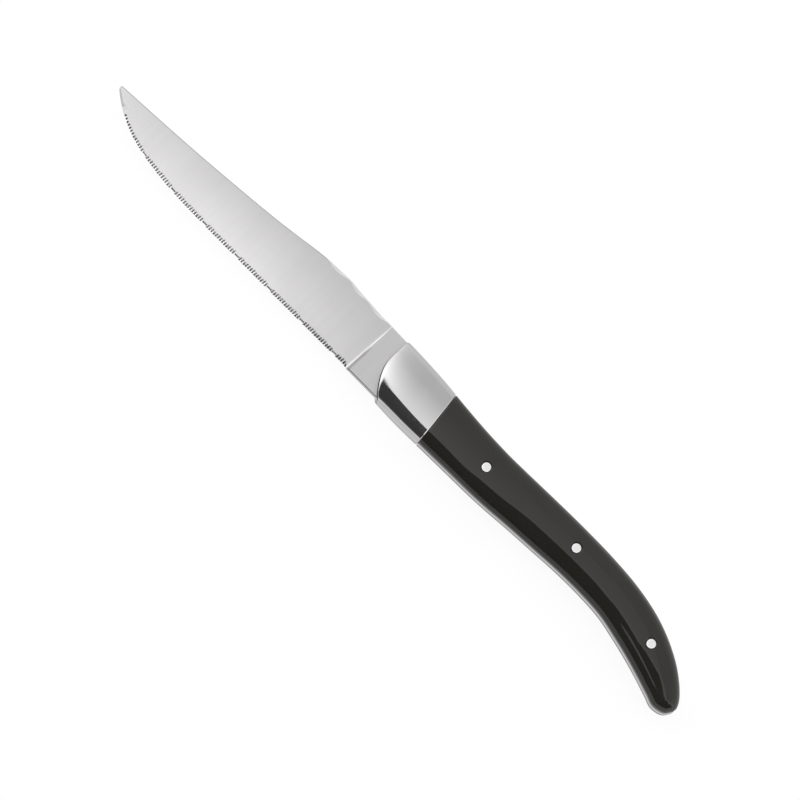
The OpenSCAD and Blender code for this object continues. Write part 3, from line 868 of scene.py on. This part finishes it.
def rivet_steel():
    """Bright steel with fine turning marks, and a painted highlight ring round the rim of each head.
    """
    m, t = material("bright_rivet_steel")
    at = t.place()
    marks = t.noise(at, 3000.0, 3.0, 0.6)
    cloud = t.noise(at, 700.0, 2.0, 0.5)
    out = t.from_axis(t.add("ShaderNodeTexCoord").outputs["Generated"], 0.5, 0.5)
    # painted highlight: the outer part of each head is brightened to a near-white ring
    base = t.to_grey(t.span(out, 0.3, 0.38, 0, 1), t.grey(cloud, 0.86, 0.93), 0.99)
    metal(t, base, t.roughness(cloud, 0.22, 0.30, marks, 0.04), Normal=t.bump(marks, 0.06))
    return m


def pin_steel():
    """Plain drawn steel with marks along the pin."""
    m, t = material("plain_pin_steel")
    drawn = t.noise(t.stretch(t.place(), 4000, 4000, 200), 1.0, 3.0, 0.6)
    metal(t, t.grey(drawn, 0.48, 0.6), t.span(drawn, NOISE_LOW, NOISE_HIGH, 0.28, 0.4))
    return m


pins = [frame["nodes"][node] for node in ("front_bolster_pin", "rear_bolster_pin")]
for obj in pins:
    obj.data.materials.clear()
for made, wearers in ((blade_steel(), [blade]), (bolster_steel(), [upper_bolster, lower_bolster]),
                      (scale_black(), [upper_scale, lower_scale]), (rivet_steel(), rivets),
                      (pin_steel(), pins)):
    for obj in wearers:
        obj.data.materials.append(made)

# ---------------------------------------------------------------------------------------------
# Floor and light
FLOOR_HALF, FLOOR_Z, FLOOR_GREY = 4, -0.00005, 0.82
FLOOR_GLOW = 0.86       # its own light, as seen by the camera and in the gloss
CAMERA_GLOW = 1.08


def floor():
    """A pale floor that shows white to the camera and in the gloss, and keeps the shadow."""
    mesh = bpy.data.meshes.new("floor")
    corners = ((-1, -1), (1, -1), (1, 1), (-1, 1))
    mesh.from_pydata([(FLOOR_HALF * x, FLOOR_HALF * y, FLOOR_Z) for x, y in corners], [],
                     [(0, 1, 2, 3)])
    obj = bpy.data.objects.new("floor", mesh)
    bpy.context.scene.collection.objects.link(obj)
    obj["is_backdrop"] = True
    m, t = material("pale_floor")
    diffuse = t.add("ShaderNodeBsdfDiffuse", {"Color": (FLOOR_GREY, FLOOR_GREY, FLOOR_GREY, 1)})
    ray = t.add("ShaderNodeLightPath").outputs
    glossy = t.math("MAXIMUM", ray["Is Glossy Ray"], ray["Is Transmission Ray"])
    shine = t.math("ADD", t.math("MULTIPLY", ray["Is Camera Ray"], CAMERA_GLOW),
                   t.math("MULTIPLY", glossy, FLOOR_GLOW))
    glow = t.add("ShaderNodeEmission", {"Color": (1, 1, 1, 1), "Strength": shine})
    seen = t.math("MAXIMUM", ray["Is Camera Ray"], glossy)
    share = t.math("MULTIPLY", seen, FLOOR_GLOW)
    finish_material(t, t.add("ShaderNodeMixShader", {0: share, 1: diffuse.outputs[0],
                                                     2: glow.outputs[0]}))
    mesh.materials.append(m)


DARK_SIDE = Vector((0.13, -0.99, 0.0)).normalized()
DARK_FROM, DARK_SOFT = 0.14, 0.02
# Light by direction: a direction's share from and to, and the levels there
PAST_TIP = (0.66, 0.76, 0, 1)               # the dim side is lit again beyond the tip
HORIZON = (0.18, 0.02, 0, 0.9)              # and near the floor
DUSK = (0.6, 0.1, 0.055, 0.1)               # what light is left in it, by height
EDGE_SIDE = (-0.42, 0.14, 0.61, 1.09)       # the pale part is brighter towards the dim side
SPINE_SIDE = (0.74, 0.9, 0, 0.08)           # and a little brighter at the far side
AHEAD, BEHIND = (-0.1, 0.9, 1.0, 1.6), (0.2, 0.8, 1.0, 1.5)     # and beyond both ends


def world():
    """A soft studio: pale, with a dim side towards the edge of the knife, for the dark bands in the
    gloss, and plain white to the camera."""
    w = bpy.data.worlds.new("soft_studio")
    bpy.context.scene.world = w
    w.use_nodes = True
    w.node_tree.nodes.clear()
    t = Tree(w.node_tree)
    d = t.add("ShaderNodeTexCoord").outputs["Generated"]

    def along(*axis):
        return t.vector("DOT_PRODUCT", d, axis)

    height = along(0, 0, 1)
    lit = t.span(along(*DARK_SIDE), DARK_FROM - DARK_SOFT, DARK_FROM + DARK_SOFT, 1, 0, "SMOOTHSTEP")
    lit = t.math("MAXIMUM", lit, t.span(along(-1, 0, 0), *PAST_TIP, "SMOOTHSTEP"))
    lit = t.math("MAXIMUM", lit, t.span(height, *HORIZON, "SMOOTHSTEP"))
    dusk = t.span(height, *DUSK)
    near = t.span(along(0, -1, 0), *EDGE_SIDE)
    rim = t.span(along(0, 1, 0), *SPINE_SIDE, "SMOOTHSTEP")
    ahead = t.span(along(-1, 0, 0), *AHEAD)
    behind = t.span(along(1, 0, 0), *BEHIND)
    level = t.math("MULTIPLY", t.math("ADD", near, rim), t.math("MULTIPLY", ahead, behind))
    level = t.math("ADD", dusk, t.math("MULTIPLY", lit, level))
    seen = t.add("ShaderNodeLightPath").outputs["Is Camera Ray"]
    strength = t.math("ADD", t.math("MULTIPLY", level, t.math("SUBTRACT", 1.0, seen)), seen)
    back = t.add("ShaderNodeBackground", {"Color": (1, 1, 1, 1), "Strength": strength})
    out = t.add("ShaderNodeOutputWorld")
    t.t.links.new(back.outputs[0], out.inputs["Surface"])


floor()
world()

# ---------------------------------------------------------------------------------------------
# Camera: a very long lens at the photograph's angle
ELEVATION, ROLL, PIXELS_PER_MM = math.radians(78.0), math.radians(47.5), 3.632
PICTURE = 800                               # pixels across
TIP_FROM_CENTRE = (-76.994, 86.220)         # millimetres to the right and up in the picture
LENS, SENSOR, CLIP_END = 1500, 36, 100
across = Vector((1, 0, 0))
upward = Vector((0, math.sin(ELEVATION), math.cos(ELEVATION)))
back = across.cross(upward)
right = across * math.cos(ROLL) + upward * math.sin(ROLL)
up = upward * math.cos(ROLL) - across * math.sin(ROLL)
tip = Vector(shift)
target = (right * (tip.dot(right) - TIP_FROM_CENTRE[0])
          + up * (tip.dot(up) - TIP_FROM_CENTRE[1])) / 1000
cam = bpy.data.cameras.new("camera")
cam.lens = LENS
cam.sensor_width = SENSOR
cam.clip_end = CLIP_END
distance = PICTURE / PIXELS_PER_MM / 1000 * LENS / SENSOR
camera = bpy.data.objects.new("camera", cam)
bpy.context.scene.collection.objects.link(camera)
camera.location = target + back * distance
camera.rotation_mode = "QUATERNION"
camera.rotation_quaternion = Matrix((right, up, back)).transposed().to_quaternion()
bpy.context.scene.camera = camera
bpy.context.scene.view_settings.view_transform = "Standard"
